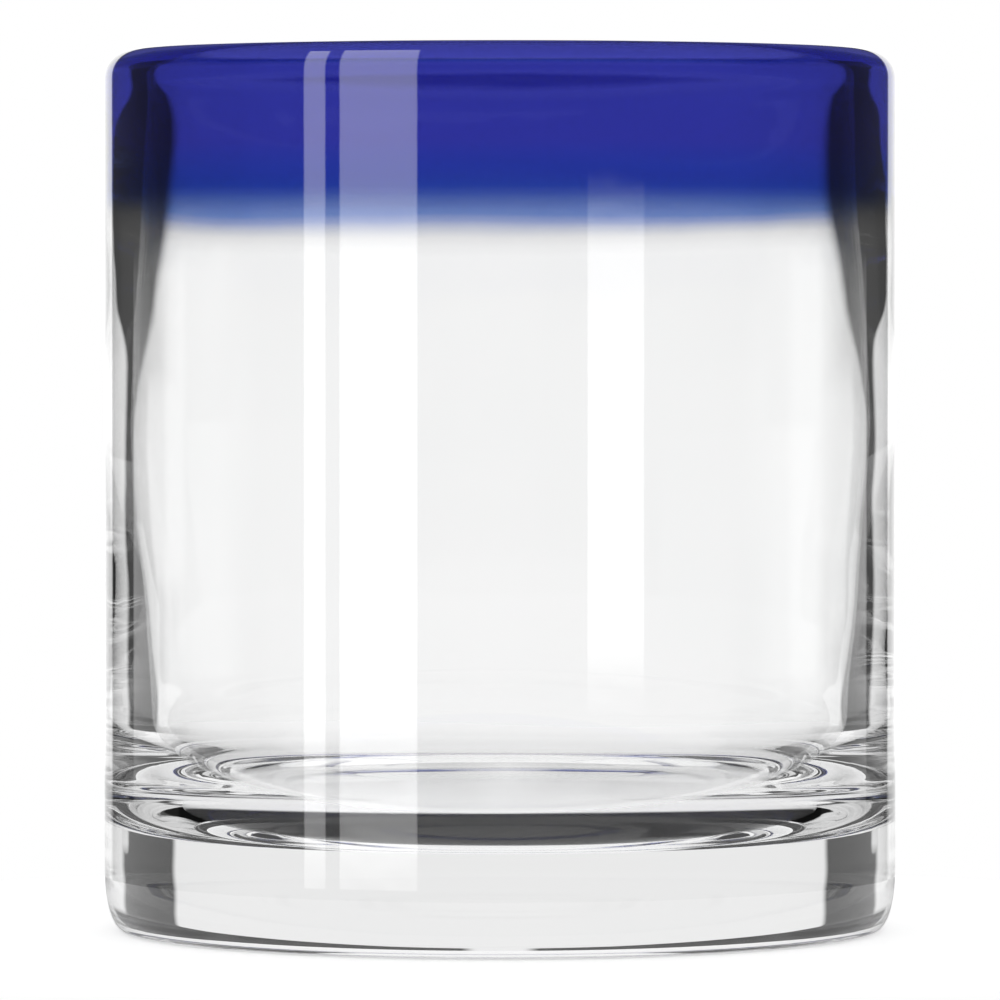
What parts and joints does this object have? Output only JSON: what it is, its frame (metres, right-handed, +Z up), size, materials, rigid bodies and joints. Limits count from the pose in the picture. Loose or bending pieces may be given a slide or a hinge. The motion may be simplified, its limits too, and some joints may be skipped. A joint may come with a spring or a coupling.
{
  "type": "rocks glass",
  "caption": "Short straight-sided drinking glass with a heavy clear base, a thick rounded lip and a see-through cobalt band round its top.",
  "frame": {"origin": "centre of the underside, in the plane of the table it stands on", "axes": "+Z up along the axis of the tumbler, out of its mouth; the part is round, so X and Y are free"},
  "size_m": [0.0888, 0.0888, 0.0986],
  "materials": {
    "clear_glass": "polished clear flint glass",
    "cobalt_glass": "polished see-through cobalt glass"
  },
  "bodies": {
    "root": {"clear_glass_body": "clear_glass", "cobalt_rim_band": "cobalt_glass"}
  },
  "joints": []
}
